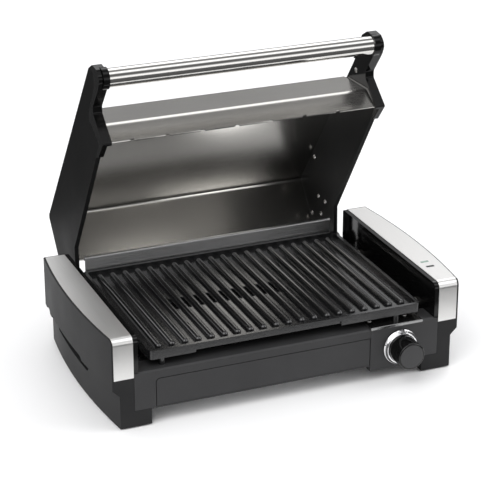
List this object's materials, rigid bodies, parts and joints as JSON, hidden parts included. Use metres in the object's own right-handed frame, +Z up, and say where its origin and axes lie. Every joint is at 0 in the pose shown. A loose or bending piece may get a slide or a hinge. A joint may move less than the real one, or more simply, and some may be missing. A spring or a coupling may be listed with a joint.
{
  "type": "electric indoor grill",
  "caption": "Electric indoor grill with a hinged steel lid and bar handle, lift-off ribbed plate, drip tray drawer and control knob.",
  "frame": {"origin": "bottom centre of the box around the grill with its lid open, on the worktop", "axes": "+X to the right as the cook sees it (the knob's side), +Y to the back (the hinge's side), +Z up"},
  "size_m": [0.4308, 0.3732, 0.3624],
  "materials": {
    "housing_plastic": "fine grain, semi-matte",
    "front_plastic": "fine grain, semi-matte",
    "panel_plastic": "fine grain, semi-matte",
    "tray_plastic": "fine grain, semi-matte",
    "side_plastic": "fine grain, semi-matte",
    "hinge_plastic": "semi-matte",
    "gloss_black": "glossy",
    "bracket_gloss": "glossy",
    "knob_gloss": "glossy",
    "knob_matte": "matte",
    "band_steel": "brushed along the band",
    "lid_steel": "brushed across the width",
    "tube_steel": "fine brushed, bright",
    "shield_steel": "bright rolled",
    "chrome_trim": "polished",
    "screw_steel": "bright",
    "zinc_sheet": "zinc plated",
    "aluminised_sheet": "bright rolled",
    "element_sheath": "dull oxidised",
    "ceramic_white": "unglazed",
    "terminal_plastic": "matte",
    "wire_rubber": "satin",
    "lens_tint": "tinted, smooth",
    "lamp_glass": "clear",
    "foot_rubber": "matte",
    "pan_aluminium": "satin",
    "plate_nonstick": "smooth dark non-stick coating"
  },
  "bodies": {
    "base": {"end_housing_left": "housing_plastic", "end_housing_right": "housing_plastic", "inner_cover_left": "gloss_black", "inner_cover_right": "gloss_black", "steel_band_left": "band_steel", "steel_band_right": "band_steel", "front_frame": "front_plastic", "control_panel": "panel_plastic", "panel_edge_trim": "chrome_trim", "panel_screws": "screw_steel", "chassis_pan": "zinc_sheet", "rear_cover": "housing_plastic", "rear_shield": "shield_steel", "heat_reflector": "aluminised_sheet", "heating_element": "element_sheath", "element_clips": "zinc_sheet", "terminal_bushings": "ceramic_white", "thermal_fuse": "ceramic_white", "terminal_block": "terminal_plastic", "wiring": "wire_rubber", "thermostat_body": "zinc_sheet", "thermostat_nut": "screw_steel", "knob_ring": "chrome_trim", "indicator_lenses": "lens_tint", "indicator_lamps": "lamp_glass", "cord_inlet": "foot_rubber", "rubber_feet": "foot_rubber", "base_screws": "screw_steel", "hinge_bracket_left": "hinge_plastic", "hinge_bracket_right": "hinge_plastic", "hinge_pin_left": "screw_steel", "hinge_pin_right": "screw_steel", "hinge_screws": "screw_steel"},
    "lid": {"lid_skin": "lid_steel", "lid_side_left": "side_plastic", "lid_side_right": "side_plastic", "handle_bracket_left": "bracket_gloss", "handle_bracket_right": "bracket_gloss", "handle_tube": "tube_steel", "handle_screws": "screw_steel", "lid_rivets": "screw_steel"},
    "drip_tray": {"drip_tray_front": "tray_plastic", "drip_tray_pan": "pan_aluminium"},
    "plate": {"grill_plate": "plate_nonstick"},
    "dial": {"knob": "knob_gloss", "knob_cap": "knob_matte", "thermostat_shaft": "screw_steel"}
  },
  "joints": [
    {"name": "lid_hinge", "type": "hinge", "parent": "base", "child": "lid", "pos_m": [0, 0.09321, 0.066], "axis": [1, 0, 0], "range_deg": [0, 58.3]},
    {"name": "tray_slide", "type": "slide", "parent": "base", "child": "drip_tray", "axis": [0, -1, 0], "range_m": [0, 0.15]},
    {"name": "plate_lift", "type": "slide", "parent": "base", "child": "plate", "axis": [0, 0, 1], "range_m": [0, 0.015]},
    {"name": "knob_turn", "type": "hinge", "parent": "base", "child": "dial", "pos_m": [0.1345, -0.15679, 0.0386], "axis": [0, -1, 0], "range_deg": [-270, 0]}
  ]
}
